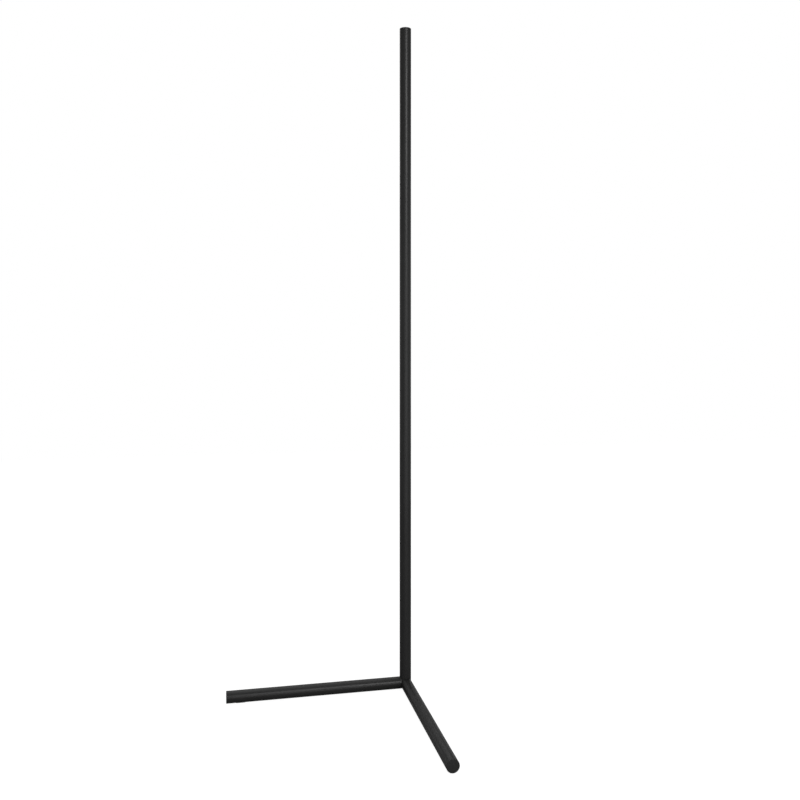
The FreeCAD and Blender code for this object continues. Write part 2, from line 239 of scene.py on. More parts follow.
# Steel under black oxide: a dark metal with an oily sheen.
BLACK_STEEL = Finish(
    "black oxide steel", "#2a2a2c", "#323234", roughness=0.38, gloss_drift=0.06,
    grain_mm=0.5, grain_height_mm=0.004, patch_mm=3.0, metallic=1.0)
# Drawn aluminium as it leaves the die: pale, with lines along it.
MILL_ALUMINIUM = Finish(
    "mill-finish aluminium", "#c4c5c7", "#b4b5b8", roughness=0.34, gloss_drift=0.05,
    grain_mm=0.4, grain_height_mm=0.004, patch_mm=12.0, stretch=20.0, metallic=1.0)
# Nickel plate on brass: warm grey and bright.
NICKEL = Finish(
    "nickel-plated brass", "#c9c3b6", "#bdb7aa", roughness=0.22, gloss_drift=0.04,
    grain_mm=0.5, grain_height_mm=0.001, patch_mm=2.0, metallic=1.0)
# White solder mask over copper: a faint print of the tracks under a glossy skin.
SOLDER_MASK = Finish(
    "white solder mask", "#e6e6e2", "#dcdcd6", roughness=0.3, gloss_drift=0.05,
    grain_mm=1.5, grain_height_mm=0.01, patch_mm=5.0, constants={"IOR": 1.52})
# Acrylic foam tape: pale grey, dull and porous.
FOAM_TAPE = Finish(
    "acrylic foam tape", "#a9a49a", "#9a958b", roughness=0.9, gloss_drift=0.03,
    grain_mm=0.4, grain_height_mm=0.03, patch_mm=3.0, constants={"Sheen Weight": 0.2})
# Light chip: silicone loaded with yellow phosphor over a white package.
PHOSPHOR = Finish(
    "silicone with phosphor", "#e3cf6a", "#ddc458", roughness=0.35, gloss_drift=0.03,
    grain_mm=1.0, grain_height_mm=0.004, patch_mm=3.0, constants={"IOR": 1.41})
# Thick-film resistor: black glaze on alumina.
GLAZE = Finish(
    "glazed alumina", "#17171a", "#1e1e21", roughness=0.2, gloss_drift=0.03,
    grain_mm=0.8, grain_height_mm=0.003, patch_mm=1.5)
# Plasticised vinyl, extruded round two wires: soft, with a waxy sheen.
VINYL = Finish(
    "soft vinyl", "#202020", "#262626", roughness=0.5, gloss_drift=0.04,
    grain_mm=1.2, grain_height_mm=0.01, patch_mm=6.0, constants={"IOR": 1.53})


# Mesh work


class Workpiece:
    """One mesh in the making, drawn in millimetres."""

    def __init__(self) -> None:
        """Start with nothing on the bench."""
        self.bm = bmesh.new()

    def start(self, x: float, y: float, z: float = 0.0) -> bmesh.types.BMVert:
        """Set down the first point of an outline."""
        return bmesh.ops.create_vert(self.bm, co=(x, y, z))["vert"][0]

    def draw(self, vert: bmesh.types.BMVert, *stops: Sequence[float]) -> bmesh.types.BMVert:
        """Draw straight edges on from a point.

        Args:
            vert: The point to go on from.
            *stops: The next points, with x and y, or with x, y and z.

        Returns:
            The last point.
        """
        for stop in stops:
            tip = bmesh.ops.extrude_vert_indiv(self.bm, verts=[vert])["verts"][0]
            goal = Vector(stop) if len(stop) == 3 else Vector((*stop, vert.co.z))
            bmesh.ops.translate(self.bm, verts=[tip], vec=goal - tip.co)
            vert = tip
        return vert

    def swing(self, vert: bmesh.types.BMVert, angle: float,
              centre: Place = (0.0, 0.0)) -> bmesh.types.BMVert:
        """Draw an arc on from a point, about an upright line.

        Args:
            vert: The point to go on from.
            angle: How far to swing, in radians, anticlockwise from above.
            centre: Where the upright line stands.

        Returns:
            The last point.
        """
        steps = max(FEWEST_STEPS, round(abs(angle) / FULL_TURN * SEGMENTS))
        swung = bmesh.ops.spin(self.bm, geom=[vert], cent=(*centre, vert.co.z), axis=(0, 0, 1),
                               angle=angle, steps=steps)
        return next(item for item in swung["geom_last"] if isinstance(item, bmesh.types.BMVert))

    def circle(self, radius: float, z: float, centre: Place = (0.0, 0.0)) -> None:
        """Draw a full circle."""
        bmesh.ops.create_circle(self.bm, segments=SEGMENTS, radius=radius,
                                matrix=Matrix.Translation((*centre, z)))

    def round_ended(self, run: float, half: float, z: float = 0.0) -> None:
        """Draw a long outline with round ends, centred on the Z axis and lying along X.

        Args:
            run: Half the length of its straight sides.
            half: Half its width.
            z: Its height.
        """
        corner = self.draw(self.start(-run, half, z), (run, half))
        corner = self.swing(corner, -math.pi, (run, 0.0))
        corner = self.draw(corner, (-run, -half))
        self.swing(corner, -math.pi, (-run, 0.0))

    def plate(self) -> list[bmesh.types.BMFace]:
        """Fill the loose outlines with a flat plate; an outline inside another is a hole.

        Returns:
            The plate's faces.
        """
        bmesh.ops.remove_doubles(self.bm, verts=self.loose_verts(), dist=WELD)
        loose = [edge for edge in self.bm.edges if edge.is_wire or edge.is_boundary]
        filled = bmesh.ops.triangle_fill(self.bm, use_beauty=True, edges=loose)
        return [item for item in filled["geom"] if isinstance(item, bmesh.types.BMFace)]

    def loose_verts(self) -> list[bmesh.types.BMVert]:
        """The points of outlines that carry no face yet."""
        return [vert for vert in self.bm.verts if not vert.link_faces]

    def pull(self, faces: Iterable[bmesh.types.BMFace],
             along: Sequence[float]) -> list[bmesh.types.BMFace]:
        """Draw faces out into a solid.

        Args:
            faces: The faces to draw out.
            along: The way and how far.

        Returns:
            The faces at the far end.
        """
        faces = list(faces)
        edges = dict.fromkeys(edge for face in faces for edge in face.edges)
        drawn = bmesh.ops.extrude_face_region(self.bm, geom=[*faces, *edges])["geom"]
        verts = [item for item in drawn if isinstance(item, bmesh.types.BMVert)]
        bmesh.ops.translate(self.bm, verts=verts, vec=Vector(along))
        return [item for item in drawn if isinstance(item, bmesh.types.BMFace)]

    def skirt(self, edges: Iterable[bmesh.types.BMEdge],
              along: Sequence[float]) -> list[bmesh.types.BMEdge]:
        """Draw an edge loop out into a wall.

        Args:
            edges: The loop.
            along: The way and how far.

        Returns:
            The loop at the far end.
        """
        drawn = bmesh.ops.extrude_edge_only(self.bm, edges=list(edges))["geom"]
        verts = [item for item in drawn if isinstance(item, bmesh.types.BMVert)]
        bmesh.ops.translate(self.bm, verts=verts, vec=Vector(along))
        return [item for item in drawn if isinstance(item, bmesh.types.BMEdge)]

    def lid(self, edges: Iterable[bmesh.types.BMEdge]) -> bmesh.types.BMFace:
        """Close an edge loop with one flat face."""
        return bmesh.ops.edgeloop_fill(self.bm, edges=list(edges))["faces"][0]

    def edges_where(self, test: Callable[[bmesh.types.BMEdge], bool]) -> list[bmesh.types.BMEdge]:
        """The edges that pass a test."""
        return [edge for edge in self.bm.edges if test(edge)]

    def edges_of(self, test: Callable[[Vector], bool]) -> list[bmesh.types.BMEdge]:
        """The edges whose two ends both pass a test of their place."""
        return self.edges_where(lambda edge: all(test(vert.co) for vert in edge.verts))

    def rim(self, radius: float, z: float) -> list[bmesh.types.BMEdge]:
        """The edges of a circle about the Z axis, at a height."""
        return self.edges_of(
            lambda place: abs(place.z - z) < NEAR and abs(place.xy.length - radius) < NEAR)

    def uprights(self, x: float, y: float) -> list[bmesh.types.BMEdge]:
        """The upright edges at a place, and at its mirror image across the X axis."""
        return self.edges_of(
            lambda place: abs(place.x - x) < NEAR and abs(abs(place.y) - y) < NEAR)

    def round_over(self, edges: Iterable[bmesh.types.BMEdge], radius: float,
                   segments: int = 2) -> None:
        """Round edges over.

        Args:
            edges: The edges.
            radius: How far the rounding reaches from each edge.
            segments: How many facets it has.
        """
        bmesh.ops.bevel(self.bm, geom=list(edges), offset=radius, offset_type="OFFSET",
                        segments=segments, profile=0.5, affect="EDGES", clamp_overlap=True,
                        material=-1)

    def bar(self, radius: float, low: float, high: float) -> None:
        """Add a round bar on the Z axis.

        Args:
            radius: Its radius.
            low: The height of its lower end.
            high: The height of its upper end.
        """
        middle = Matrix.Translation((0, 0, (low + high) / 2))
        bmesh.ops.create_cone(self.bm, cap_ends=True, segments=SEGMENTS, radius1=radius,
                              radius2=radius, depth=high - low, matrix=middle)

    def turn(self, profile: Sequence[Place]) -> None:
        """Turn a profile about the Z axis into a closed solid.

        Args:
            profile: Its (radius, height) points. One that starts on the axis ends on it too, and
                any other one is closed here.
        """
        first, *others = [(across, 0.0, height) for across, height in profile]
        stops = others if first[0] == 0 else [*others, first]
        self.draw(self.start(*first), *stops)
        bmesh.ops.remove_doubles(self.bm, verts=self.loose_verts(), dist=WELD)
        outline = [edge for edge in self.bm.edges if edge.is_wire]
        corners = dict.fromkeys(vert for edge in outline for vert in edge.verts)
        bmesh.ops.spin(self.bm, geom=[*outline, *corners], cent=(0, 0, 0), axis=(0, 0, 1),
                       angle=FULL_TURN, steps=SEGMENTS, use_merge=True)
        bmesh.ops.remove_doubles(self.bm, verts=self.bm.verts, dist=WELD)

    def rotate(self, degrees: float, axis: Sequence[float] = (0, 0, 1)) -> Workpiece:
        """Turn the whole piece about a line through the origin.

        Args:
            degrees: How far.
            axis: The line's way.

        Returns:
            The piece itself.
        """
        turned = Matrix.Rotation(math.radians(degrees), 3, Vector(axis))
        bmesh.ops.rotate(self.bm, cent=(0, 0, 0), matrix=turned, verts=self.bm.verts)
        return self

    def shift(self, x: float, y: float, z: float) -> Workpiece:
        """Move the whole piece."""
        bmesh.ops.translate(self.bm, verts=self.bm.verts, vec=(x, y, z))
        return self

    def copy(self) -> Workpiece:
        """Copy the piece.

        Returns:
            A second workpiece of the same shape.
        """
        other = Workpiece()
        other.bm.free()
        other.bm = self.bm.copy()
        return other

    def to_object(self, name: str) -> bpy.types.Object:
        """Turn the piece to metres and set it in the scene.

        Args:
            name: The object's name.

        Returns:
            The object, at the origin, with outward normals.
        """
        bmesh.ops.recalc_face_normals(self.bm, faces=self.bm.faces)
        bmesh.ops.scale(self.bm, vec=(MM, MM, MM), verts=self.bm.verts)
        mesh = bpy.data.meshes.new(name)
        self.bm.to_mesh(mesh)
        self.bm.free()
        made = bpy.data.objects.new(name, mesh)
        bpy.context.scene.collection.objects.link(made)
        return made


def machine(piece: bpy.types.Object, tool: Workpiece,
            operation: Operation = Operation.CUT) -> None:
    """Cut a closed tool shape out of a piece, or join it on, and keep the result as its mesh.

    Args:
        piece: The object to change.
        tool: The shape to cut with or to add.
        operation: Which of the two it is.
    """
    shape = tool.to_object("tool")
    step = piece.modifiers.new("machine", "BOOLEAN")
    step.operation, step.solver, step.object = operation.value, "EXACT", shape
    graph = bpy.context.evaluated_depsgraph_get()
    result = bpy.data.meshes.new_from_object(piece.evaluated_get(graph))
    piece.modifiers.remove(step)
    clean = bmesh.new()
    clean.from_mesh(result)
    bmesh.ops.remove_doubles(clean, verts=clean.verts, dist=CUT_CLEARANCE)
    bmesh.ops.dissolve_degenerate(clean, edges=clean.edges, dist=CUT_CLEARANCE)
    clean.to_mesh(result)
    clean.free()
    rough, tool_mesh = piece.data, shape.data
    piece.data = result
    result.name = piece.name
    bpy.data.objects.remove(shape)
    bpy.data.meshes.remove(tool_mesh)
    bpy.data.meshes.remove(rough)


def hand_over(piece: bpy.types.Object, finish: Finish, node: str) -> None:
    """Shade and dress a finished piece, and let it stand for its CAD node.

    Args:
        piece: The finished object.
        finish: What its surface is.
        node: The CAD node that it stands for.
    """
    piece.data.shade_smooth()
    piece.data.set_sharp_from_angle(angle=math.radians(SMOOTH_UP_TO))
    even = piece.modifiers.new("even normals", "WEIGHTED_NORMAL")
    even.keep_sharp = True
    piece.data.materials.clear()
    piece.data.materials.append(finish.make())
    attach(piece, BODY)
    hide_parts(node)
    LOG.info("%s: %d faces, %s", piece.name, len(piece.data.polygons), finish.name)


def dress(finish: Finish, *nodes: str) -> None:
    """Give CAD nodes that stay as they are their finish.

    Args:
        finish: What their surface is.
        *nodes: Their names.
    """
    for node in nodes:
        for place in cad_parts[node].material_slots:
            place.material = finish.make()
        LOG.info("%s: CAD solid, %s", node, finish.name)


def heights(node: str) -> tuple[float, float]:
    """Lowest and highest point of a CAD node, in millimetres."""
    low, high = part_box(node)
    return low.z / MM, high.z / MM


def chord_distance(radius: float, half_width: float) -> float:
    """Distance from a circle's centre to its chord of that half width."""
    return math.sqrt(radius ** 2 - half_width ** 2)


# The lamp


@dataclass(frozen=True)
class Tube:
    """What the pole, the hub and the legs share, in millimetres and degrees."""

    diameter: float = 25.0
    fit: float = 0.15
    close_fit: float = 0.05
    edge_break: float = 0.2
    light_angle: float = 45.0
    foot_drop: float = 0.6
    foot_edge: float = 0.4
    stem: float = 4.0
    stem_length: float = 5.0

    @property
    def radius(self) -> float:
        """Outer radius."""
        return self.diameter / 2

    @property
    def axis_height(self) -> float:
        """Height of the legs' axes above the floor."""
        return self.radius + self.foot_drop

    def face_light(self, work: Workpiece, height: float) -> Workpiece:
        """Turn a workpiece from the Z axis to the way that the light faces, at a height."""
        return work.rotate(90, (0, 1, 0)).shift(0, 0, height).rotate(self.light_angle)


@dataclass
class LightPole:
    """Three extruded sections with a channel down the back, their diffusers and the top cap."""

    tube: Tube
    wall: float = 1.5
    channel_width: float = 13.0
    channel_depth: float = 8.5
    channel_wall: float = 1.5
    channel_floor: float = 2.0
    groove_rise: float = 2.6
    groove_height: float = 1.4
    groove_depth: float = 0.7
    mouth_edge: float = 0.25
    diffuser_wall: float = 1.5
    diffuser_leg: float = 1.0
    diffuser_leg_gap: float = 0.6
    diffuser_edge: float = 0.12
    cap_edge: float = 0.5
    wire_slot_half: float = 3.65
    wire_slot_low: float = 95.1
    wire_slot_length: float = 18.0
    screw_diameter: float = 4.0

    @property
    def floor_face(self) -> float:
        """Distance from the axis to the channel's floor."""
        return self.tube.radius - self.channel_depth

    @property
    def web_back(self) -> float:
        """Distance from the axis to the back of the channel's floor."""
        return self.floor_face - self.channel_floor

    @property
    def inner_radius(self) -> float:
        """Radius of the hollow."""
        return self.tube.radius - self.wall

    def draw_outside(self, work: Workpiece, z: float) -> None:
        """Draw the round outside with the channel and its two snap grooves.

        Args:
            work: The workpiece to draw on.
            z: The height of the drawing.
        """
        half, deep = self.channel_width / 2, self.channel_width / 2 + self.groove_depth
        low = self.floor_face + self.groove_rise
        high = low + self.groove_height
        mouth = chord_distance(self.tube.radius, half)
        side = [(high, half), (high, deep), (low, deep), (low, half), (self.floor_face, half)]
        far_side = [(across, -along) for across, along in reversed(side)]
        lip = work.draw(work.start(mouth, half, z), *side, *far_side, (mouth, -half))
        work.swing(lip, 2 * math.asin(half / self.tube.radius) - FULL_TURN)

    def draw_hollow(self, work: Workpiece, z: float) -> None:
        """Draw the hollow in front of the channel.

        Args:
            work: The workpiece to draw on.
            z: The height of the drawing.
        """
        half = self.channel_width / 2 + self.channel_wall
        shoulder = chord_distance(self.inner_radius, half)
        corner = work.draw(work.start(shoulder, half, z), (self.web_back, half),
                           (self.web_back, -half), (shoulder, -half))
        work.swing(corner, 2 * math.asin(half / self.inner_radius) - FULL_TURN)

    def draw_spigot(self, work: Workpiece, z: float) -> None:
        """Draw the D shape that slides into the hollow.

        Args:
            work: The workpiece to draw on.
            z: The height of the drawing.
        """
        radius, flat = self.inner_radius - self.tube.fit, self.web_back - self.tube.fit
        half = chord_distance(radius, flat)
        corner = work.draw(work.start(flat, half, z), (flat, -half))
        work.swing(corner, 2 * math.acos(flat / radius) - FULL_TURN)

    def tube_of(self, section: Section) -> None:
        """Draw one section through its die, ease its ends and drill its channel floor.

        Args:
            section: Which of the sections it is.
        """
        node = f"pole_{section.value}"
        low, high = heights(node)
        work = Workpiece()
        self.draw_outside(work, low)
        self.draw_hollow(work, low)
        work.pull(work.plate(), (0, 0, high - low))
        radius, half = self.tube.radius, self.channel_width / 2
        lips = work.uprights(chord_distance(radius, half), half)
        work.round_over([*lips, *work.rim(radius, low), *work.rim(radius, high)], self.mouth_edge)
        piece = work.rotate(self.tube.light_angle).to_object(f"{node}_tube")
        for height in self.screw_heights(low, high):
            machine(piece, self.drill(height))
        if low < self.wire_slot_low < high:
            machine(piece, self.slot_tool())
        hand_over(piece, COATED_EXTRUSION, node)

    def screw_heights(self, low: float, high: float) -> list[float]:
        """Find the headless screws in the channel's floor from their CAD node.

        Args:
            low: The height to look from.
            high: The height to look to.

        Returns:
            The heights of the screws' middles between the two.
        """
        points = {round(vert.co.z / MM, 3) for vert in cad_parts["pole_screws"].data.vertices}
        bottoms: list[float] = []
        for height in sorted(points):
            if not bottoms or height > bottoms[-1] + self.screw_diameter + OVERCUT:
                bottoms.append(height)
        middles = [bottom + self.screw_diameter / 2 for bottom in bottoms]
        return [middle for middle in middles if low < middle < high]

    def drill(self, height: float) -> Workpiece:
        """Make a drill for one screw hole in the channel's floor.

        Args:
            height: The hole's height.

        Returns:
            The drill, in its place.
        """
        tool = Workpiece()
        tool.bar(self.screw_diameter / 2 + self.tube.close_fit, self.web_back - OVERCUT,
                 self.floor_face + OVERCUT)
        return self.tube.face_light(tool, height)

    def slot_tool(self) -> Workpiece:
        """Make a cutter for the slot that lets the lead into the channel.

        Returns:
            The cutter, in its place.
        """
        tool = Workpiece()
        tool.round_ended(self.wire_slot_length / 2 - self.wire_slot_half, self.wire_slot_half,
                         self.web_back - OVERCUT)
        tool.pull(tool.plate(), (0, 0, self.channel_floor + 2 * OVERCUT))
        return self.tube.face_light(tool, self.wire_slot_low + self.wire_slot_length / 2)

    def diffuser_of(self, section: Section) -> None:
        """Draw one section's diffuser through its die, with its two snap legs.

        Args:
            section: Which of the sections it is.
        """
        node = f"diffuser_{section.value}"
        low, high = heights(node)
        fit, radius = self.tube.fit, self.tube.radius
        under = radius - self.diffuser_wall
        edge = self.channel_width / 2 - fit
        inside = edge - self.diffuser_leg
        hook = self.channel_width / 2 + self.groove_depth - fit
        groove_low = self.floor_face + self.groove_rise
        groove_high = groove_low + self.groove_height
        tip = groove_low - self.diffuser_leg_gap
        side = [(groove_high - fit, edge), (groove_high - fit, hook), (groove_low + fit, edge),
                (tip, edge), (tip, inside), (chord_distance(under, inside), inside)]
        far_side = [(across, -along) for across, along in reversed(side)]
        crown = chord_distance(radius, edge)
        work = Workpiece()
        corner = work.draw(work.start(crown, edge, low), *side)
        corner = work.swing(corner, -2 * math.asin(inside / under))
        corner = work.draw(corner, *far_side[1:], (crown, -edge))
        work.swing(corner, 2 * math.asin(edge / radius))
        work.pull(work.plate(), (0, 0, high - low))
        corners = work.uprights(crown, edge)
        work.round_over([*corners, *work.rim(radius, low), *work.rim(radius, high)],
                        self.diffuser_edge)
        piece = work.rotate(self.tube.light_angle).to_object(f"{node}_cover")
        hand_over(piece, OPAL, node)

    def top_cap(self) -> None:
        """Mould the cap: a flat disc with a rounded edge and a D-shaped plug."""
        low, high = heights("top_cap")
        seat = heights("pole_upper")[1]
        work = Workpiece()
        work.circle(self.tube.radius, seat)
        self.draw_spigot(work, seat)
        work.plate()
        rim = work.rim(self.tube.radius, seat)
        outline = work.edges_where(lambda edge: edge.is_boundary and edge not in rim)
        work.lid(work.skirt(outline, (0, 0, low - seat)))
        work.lid(work.skirt(rim, (0, 0, high - seat)))
        work.round_over(work.rim(self.tube.radius, high), self.cap_edge, 4)
        piece = work.rotate(self.tube.light_angle).to_object("top_cap_disc")
        hand_over(piece, MOULDED_PLASTIC, "top_cap")

    def build(self) -> None:
        """Make every piece of the pole that shows, and dress the two hidden joiners."""
        for section in Section:
            self.tube_of(section)
            self.diffuser_of(section)
        self.top_cap()
        dress(MILL_ALUMINIUM, "lower_joiner", "middle_joiner")


@dataclass
class PowerInlet:
    """The low-voltage socket in the hub's back, drawn on Z from the pole's axis outwards."""

    tube: Tube
    rise: float = 18.0
    thread: float = 8.0
    flange: float = 11.0
    flange_thickness: float = 2.0
    recess_gap: float = 1.0
    depth: float = 11.0
    bore: float = 6.3
    back_wall: float = 1.5
    pin: float = 2.1
    pin_setback: float = 1.5
    pin_edge: float = 0.42
    tail: float = 5.5
    lip: float = 0.25

    @property
    def recess_radius(self) -> float:
        """Radius of the flat recess that the flange sits in."""
        return self.flange / 2 + self.recess_gap

    @property
    def seat(self) -> float:
        """Distance from the pole's axis to the recess's flat."""
        radius = self.tube.radius
        return min(chord_distance(radius, self.recess_radius), radius - self.flange_thickness)

    def lay(self, work: Workpiece) -> Workpiece:
        """Turn a workpiece to where the inlet faces."""
        return self.tube.face_light(work, self.tube.axis_height + self.rise)

    def room(self, start: float) -> Workpiece:
        """Make a cutter for the inlet's hole and its recess.

        Args:
            start: How far from the pole's axis the hole starts.

        Returns:
            The cutter, in its place.
        """
        hole, recess, outside = (self.thread / 2 + self.tube.close_fit, self.recess_radius,
                                 self.tube.diameter)
        tool = Workpiece()
        tool.turn([(0, start), (hole, start), (hole, self.seat), (recess, self.seat),
                   (recess, outside), (0, outside)])
        return self.lay(tool)

    def body(self) -> None:
        """Mould the barrel with its flange, its lip and its bore."""
        seat, back, face = self.seat, self.seat - self.depth, self.seat + self.flange_thickness
        barrel, flange, bore, lip = self.thread / 2, self.flange / 2, self.bore / 2, self.lip
        passage = self.pin / 2 + self.tube.close_fit
        work = Workpiece()
        work.turn([(passage, back), (barrel, back), (barrel, seat), (flange, seat),
                   (flange, face), (bore, face), (bore, back + self.back_wall),
                   (passage, back + self.back_wall)])
        work.round_over(work.rim(flange, face) + work.rim(bore, face), lip, 3)
        piece = self.lay(work).to_object("inlet_barrel")
        hand_over(piece, MOULDED_PLASTIC, "inlet_body")

    def contact(self) -> None:
        """Turn the centre pin with its round tip."""
        tip = self.seat + self.flange_thickness - self.pin_setback
        work = Workpiece()
        work.bar(self.pin / 2, self.seat - self.depth - self.tail, tip)
        work.round_over(work.rim(self.pin / 2, tip), self.pin_edge, 3)
        piece = self.lay(work).to_object("inlet_centre_pin")
        hand_over(piece, NICKEL, "inlet_pin")

    def build(self) -> None:
        """Make the barrel and the pin, and dress the spring contact."""
        self.body()
        self.contact()
        dress(NICKEL, "inlet_leaf")


@dataclass
class FloorLeg:
    """One round leg: its tube, its end cap and its rubber foot, drawn as the left leg."""

    tube: Tube
    side: Side
    start: float = 32.0
    reach: float = 385.0
    wall: float = 2.0
    cap_thickness: float = 2.5
    cap_edge: float = 0.5
    plug: float = 14.0
    ribs: int = 6
    rib_width: float = 2.0
    screw_diameter: float = 4.0
    screw_head: float = 7.0
    screw_rim: float = 0.3
    screw_length: float = 8.0
    screw_inset: float = 20.0
    foot_inset: float = 30.0
    foot_length: float = 20.0
    foot_width: float = 5.0

    @property
    def name(self) -> str:
        """The leg's name in its pieces' names."""
        return self.side.name.lower()

    @property
    def tube_end(self) -> float:
        """Distance from the pole's axis to the tube's far end."""
        return self.reach - self.cap_thickness

    def lay(self, work: Workpiece) -> Workpiece:
        """Lay a workpiece that stands on Z down along this leg."""
        laid = work.rotate(-90, (0, 1, 0)).shift(0, 0, self.tube.axis_height)
        return laid.rotate(self.side.value)

    def screw_hole(self) -> Workpiece:
        """Make a countersink for the leg's screw, from below.

        Returns:
            The countersink, in its place.
        """
        grow, radius = self.tube.close_fit, self.tube.radius
        shank, crown = self.screw_diameter / 2 + grow, self.screw_head / 2 + grow
        cone = self.screw_rim + crown - shank
        tool = Workpiece()
        tool.turn([(0, radius), (crown, radius), (crown, -self.screw_rim), (shank, -cone),
                   (shank, -self.screw_length - grow), (0, -self.screw_length - grow)])
        sink = radius - chord_distance(radius, self.screw_head / 2)
        tool.rotate(180, (1, 0, 0)).shift(-self.start - self.screw_inset, 0,
                                          self.tube.foot_drop + sink)
        return tool.rotate(self.side.value)

    def foot_place(self, work: Workpiece) -> Workpiece:
        """Move an upright workpiece from the origin to the foot."""
        return work.shift(self.foot_inset - self.reach, 0, 0).rotate(self.side.value)

    def pipe(self) -> None:
        """Cut the tube to length, ease its ends, and make its two holes underneath."""
        radius = self.tube.radius
        work = Workpiece()
        work.circle(radius, self.start)
        work.circle(radius - self.wall, self.start)
        ring = bmesh.ops.bridge_loops(work.bm, edges=work.bm.edges)["faces"]
        work.pull(ring, (0, 0, self.tube_end - self.start))
        work.round_over(work.rim(radius, self.start) + work.rim(radius, self.tube_end),
                        self.tube.edge_break)
        piece = self.lay(work).to_object(f"{self.name}_leg_pipe")
        machine(piece, self.screw_hole())
        stem = Workpiece()
        stem.bar(self.tube.stem / 2 + self.tube.close_fit, -OVERCUT, self.tube.axis_height)
        machine(piece, self.foot_place(stem))
        hand_over(piece, POWDER_COAT, f"{self.name}_leg_tube")

    def cap(self) -> None:
        """Mould the cap: a flat disc with a rounded edge, and ribs that grip the tube."""
        radius, grip = self.tube.radius, self.tube.radius - self.wall - self.tube.close_fit
        half, valley = self.rib_width / 2, self.rib_width
        end = chord_distance(grip, half)
        work = Workpiece()
        work.circle(radius, self.tube_end)
        star = []
        for rib in range(self.ribs):
            turned = Matrix.Rotation(FULL_TURN * rib / self.ribs, 2)
            between = Matrix.Rotation(FULL_TURN * (rib + 0.5) / self.ribs, 2)
            star += [turned @ Vector((end, -half)), turned @ Vector((end, half)),
                     between @ Vector((valley, 0))]
        work.draw(work.start(*star[0], self.tube_end), *star[1:], star[0])
        work.plate()
        rim = work.rim(radius, self.tube_end)
        ribs = work.edges_where(lambda edge: edge.is_boundary and edge not in rim)
        work.lid(work.skirt(ribs, (0, 0, -self.plug)))
        work.lid(work.skirt(rim, (0, 0, self.cap_thickness)))
        work.round_over(work.rim(radius, self.reach), self.cap_edge, 4)
        piece = self.lay(work).to_object(f"{self.name}_end_cap")
        hand_over(piece, MOULDED_PLASTIC, f"{self.name}_leg_cap")

    def foot(self) -> None:
        """Mould the foot: a pad with round ends that fits the tube, and its stem."""
        work = Workpiece()
        work.round_ended((self.foot_length - self.foot_width) / 2, self.foot_width / 2)
        work.pull(work.plate(), (0, 0, self.tube.axis_height))
        outline = [edge for edge in work.edges_of(lambda place: place.z < NEAR)
                   if any(vert.co.z > NEAR for face in edge.link_faces for vert in face.verts)]
        work.round_over(outline, self.tube.foot_edge, 3)
        piece = self.foot_place(work).to_object(f"{self.name}_foot_pad")
        saddle = Workpiece()
        saddle.bar(self.tube.radius, 0, self.reach)
        machine(piece, self.lay(saddle))
        stem = Workpiece()
        stem.bar(self.tube.stem / 2, self.tube.foot_edge,
                 self.tube.foot_drop + self.tube.stem_length)
        machine(piece, self.foot_place(stem), Operation.JOIN)
        hand_over(piece, RUBBER, f"{self.name}_leg_foot")

    def build(self) -> None:
        """Make the leg's three pieces."""
        self.pipe()
        self.cap()
        self.foot()


# The ways that the hub's arms point: the two legs, then the pole.
LEG_ARMS = (Vector((-1, 0, 0)), Vector((0, -1, 0)))
POLE_ARM = Vector((0, 0, 1))
ARMS = (*LEG_ARMS, POLE_ARM)


